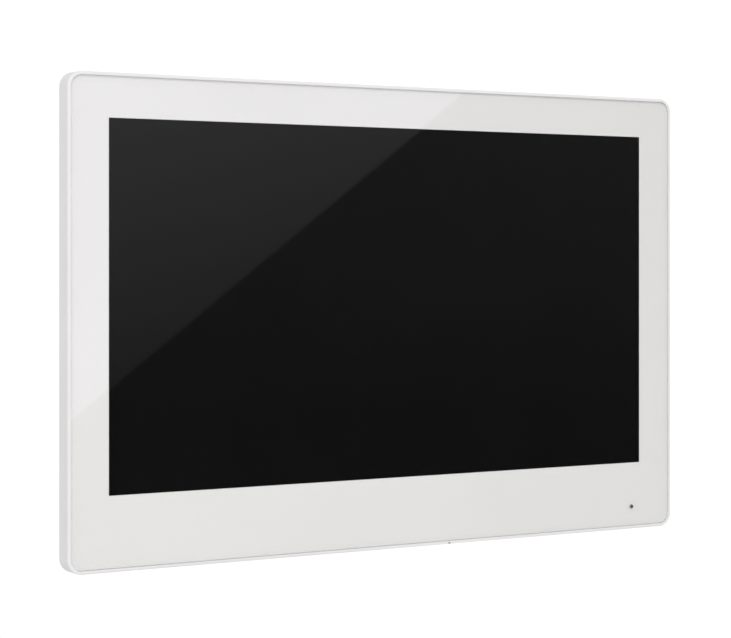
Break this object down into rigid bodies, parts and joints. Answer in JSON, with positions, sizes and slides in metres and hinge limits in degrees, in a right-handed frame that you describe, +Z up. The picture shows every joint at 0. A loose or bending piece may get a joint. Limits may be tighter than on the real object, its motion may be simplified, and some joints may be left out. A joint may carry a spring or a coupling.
{
  "type": "video intercom monitor",
  "caption": "Flat wall-hung video intercom monitor: a wide touch screen behind a white-bordered glass front, a shallow rear housing and a steel hook-on wall bracket.",
  "frame": {"origin": "on the wall plane, at the middle of the front's outline, which is also the middle of the wall bracket and of its screw holes", "axes": "+Z up, +Y into the wall, the screen faces -Y, +X to the right as the user sees it"},
  "size_m": [0.2528, 0.0224, 0.1656],
  "materials": {
    "frame_plastic": "satin white injection-moulded ABS",
    "housing_plastic": "white ABS with a fine spark-eroded texture",
    "cover_glass": "polished chemically strengthened glass",
    "border_print": "white screen print on film",
    "adhesive": "black acrylic foam tape",
    "touch_film": "clear conductive film, dark over the screen",
    "flex_film": "amber polyimide with copper tracks",
    "foam": "black closed-cell foam",
    "display_steel": "tinned sheet steel",
    "display_black": "black polarised liquid crystal glass",
    "optical_film": "milky diffuser and prism film",
    "light_guide": "clear acrylic with printed dots",
    "led_yellow": "white tape with yellow phosphor LEDs",
    "reflector": "white foamed polyester",
    "mould_white": "white moulded polycarbonate",
    "chassis_steel": "galvanised sheet steel",
    "screw_steel": "nickel-plated steel",
    "brass": "turned brass",
    "board_green": "green solder mask on glass-fibre board",
    "chip_black": "black moulded epoxy",
    "thermal_pad": "soft blue silicone",
    "ferrite": "dark grey ferrite",
    "capacitor_can": "aluminium can",
    "cell_steel": "brushed stainless steel",
    "socket_ivory": "ivory nylon",
    "tinned_shell": "tin-plated steel",
    "connector_black": "black glass-filled nylon",
    "gold_contact": "gold-plated phosphor bronze",
    "terminal_green": "green glass-filled nylon",
    "pin_tin": "tin-plated copper alloy",
    "rubber_black": "black silicone rubber",
    "lead_sheath": "grey PVC ribbon",
    "speaker_black": "black moulded ABS",
    "speaker_paper": "coated paper cone in a pressed frame",
    "pad_rubber": "light grey rubber",
    "bracket_steel": "galvanised pressed steel"
  },
  "bodies": {
    "wall_bracket": {"wall_bracket": "bracket_steel"},
    "monitor": {"cover_glass": "cover_glass", "border_print": "border_print", "glass_adhesive": "adhesive", "touch_sensor": "touch_film", "touch_flex": "flex_film", "front_frame": "frame_plastic", "display_foam": "foam", "display_bezel": "display_steel", "display_cell": "display_black", "optical_films": "optical_film", "light_guide": "light_guide", "led_strip": "led_yellow", "reflector_sheet": "reflector", "display_mould": "mould_white", "display_tray": "display_steel", "display_flex": "flex_film", "display_pads": "foam", "chassis_plate": "chassis_steel", "chassis_screws": "screw_steel", "board_posts": "brass", "main_board": "board_green", "board_screws": "screw_steel", "processor": "chip_black", "memory_chips": "chip_black", "thermal_pad": "thermal_pad", "shield_can": "tinned_shell", "power_coils": "ferrite", "capacitors": "capacitor_can", "network_transformer": "chip_black", "control_chips": "chip_black", "clock_cell": "cell_steel", "clock_cell_holder": "connector_black", "flex_sockets": "socket_ivory", "lead_sockets": "socket_ivory", "jack_shell": "tinned_shell", "jack_insert": "connector_black", "jack_contacts": "gold_contact", "terminal_header": "terminal_green", "header_pins": "pin_tin", "mic_board": "board_green", "mic_board_screws": "screw_steel", "microphone": "gold_contact", "mic_boot": "rubber_black", "mic_lead": "lead_sheath", "reset_switch": "connector_black", "speaker_box": "speaker_black", "speaker_cone": "speaker_paper", "speaker_seal": "foam", "speaker_lead": "lead_sheath", "rear_cover": "housing_plastic", "case_screws": "screw_steel", "wall_pads": "pad_rubber"},
    "reset_button": {"reset_button": "rubber_black"},
    "terminal_plug": {"terminal_plug": "terminal_green", "plug_screws": "screw_steel"}
  },
  "joints": [
    {"name": "hook_lift", "type": "slide", "parent": "wall_bracket", "child": "monitor", "axis": [0, 0, 1], "range_m": [0, 0.005]},
    {"name": "reset_press", "type": "slide", "parent": "monitor", "child": "reset_button", "axis": [0, 0, 1], "range_m": [0, 0.0003], "stiffness_N_per_m": 5000},
    {"name": "terminal_pull", "type": "slide", "parent": "monitor", "child": "terminal_plug", "axis": [0, 0, -1], "range_m": [0, 0.008]}
  ]
}
